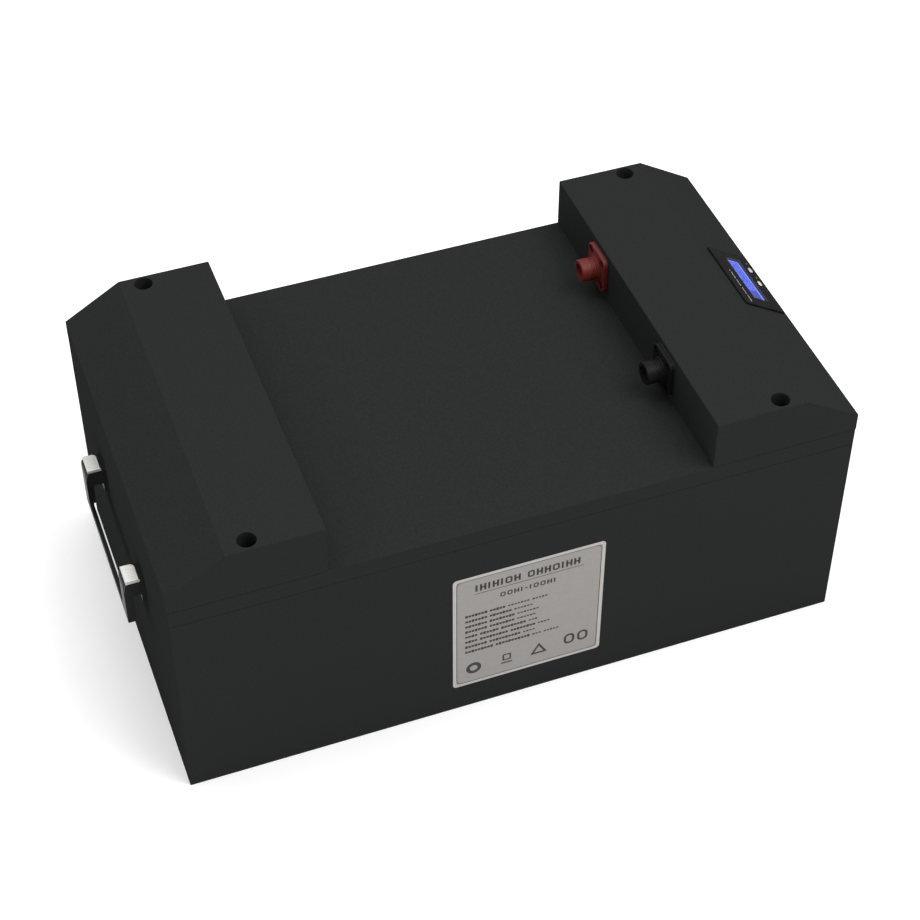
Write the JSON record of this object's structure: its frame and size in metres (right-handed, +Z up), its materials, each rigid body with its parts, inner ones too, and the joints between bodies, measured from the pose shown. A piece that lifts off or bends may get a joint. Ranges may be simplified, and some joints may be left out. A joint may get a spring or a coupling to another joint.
{
  "type": "battery pack",
  "caption": "Boxy black battery pack with raised end covers, round power connectors, a small panel meter, a label and folding end handles.",
  "frame": {"origin": "middle of the underside of the case", "axes": "+X along the case towards the connector and meter end, -Y towards the label, +Z up"},
  "size_m": [0.53, 0.2883, 0.2245],
  "materials": {
    "case_plastic": "fine texture",
    "seal_rubber": "matt",
    "red_plastic": "satin",
    "black_plastic": "satin",
    "silver_contact": "satin",
    "dark_screw": "blackened",
    "plated_screw": "plated",
    "label_film": "printed film",
    "bezel_plastic": "satin",
    "window_clear": "clear",
    "display_blue": "backlit",
    "button_metal": "satin",
    "board_green": "solder mask",
    "coated_steel": "powder coat",
    "bright_cap": "satin",
    "plain_steel": "zinc plated",
    "cell_aluminium": "blue film over aluminium",
    "copper": "bare copper",
    "glass_fibre": "board",
    "foam": "closed-cell foam",
    "case_aluminium": "anodised",
    "cable_red": "sleeved",
    "cable_black": "sleeved"
  },
  "bodies": {
    "pack": {"case_body": "case_plastic", "lid": "case_plastic", "left_end_cover": "case_plastic", "right_end_cover": "case_plastic", "lid_gasket": "seal_rubber", "lid_screws": "plated_screw", "lid_grommets": "seal_rubber", "cover_screws": "dark_screw", "rating_label": "label_film", "positive_connector": "red_plastic", "negative_connector": "black_plastic", "positive_contact": "silver_contact", "negative_contact": "silver_contact", "connector_seals": "seal_rubber", "flange_screws": "dark_screw", "meter_housing": "bezel_plastic", "meter_window": "window_clear", "meter_display": "display_blue", "meter_board": "board_green", "meter_back": "bezel_plastic", "meter_lead": "cable_black", "right_front_bracket": "coated_steel", "right_rear_bracket": "coated_steel", "left_front_bracket": "coated_steel", "left_rear_bracket": "coated_steel", "bracket_caps": "bright_cap", "hinge_pins": "plain_steel", "handle_screws": "plated_screw", "backing_plates": "plain_steel", "cell_terminals": "cell_aluminium", "busbars": "copper", "terminal_nuts": "plated_screw", "cell_separators": "glass_fibre", "cell_pad": "foam", "cell_end_plates": "glass_fibre", "cell_bands": "plain_steel", "foam_block": "foam", "board_case": "case_aluminium", "protection_board": "board_green", "board_lugs": "copper", "main_fuse": "black_plastic", "positive_cable": "cable_red", "negative_cable": "cable_black", "cell_negative_cable": "cable_black", "cell_positive_cable": "cable_red", "cell_1": "cell_aluminium", "cell_2": "cell_aluminium", "cell_3": "cell_aluminium", "cell_4": "cell_aluminium", "cell_5": "cell_aluminium", "cell_6": "cell_aluminium", "cell_7": "cell_aluminium", "cell_8": "cell_aluminium"},
    "left_handle": {"left_bail": "coated_steel"},
    "right_handle": {"right_bail": "coated_steel"},
    "rear_button": {"meter_button_rear": "button_metal"},
    "front_button": {"meter_button_front": "button_metal"}
  },
  "joints": [
    {"name": "left_handle_swing", "type": "hinge", "parent": "pack", "child": "left_handle", "pos_m": [-0.2604, 0, 0.13], "axis": [0, 1, 0], "range_deg": [0, 90]},
    {"name": "right_handle_swing", "type": "hinge", "parent": "pack", "child": "right_handle", "pos_m": [0.2604, 0, 0.13], "axis": [0, -1, 0], "range_deg": [0, 90]},
    {"name": "rear_button_press", "type": "slide", "parent": "pack", "child": "rear_button", "axis": [-0.5175, 0, -0.8557], "range_m": [0, 0.0008], "stiffness_N_per_m": 400, "springref_m": -0.0005},
    {"name": "front_button_press", "type": "slide", "parent": "pack", "child": "front_button", "axis": [-0.5175, 0, -0.8557], "range_m": [0, 0.0008], "stiffness_N_per_m": 400, "springref_m": -0.0005}
  ]
}
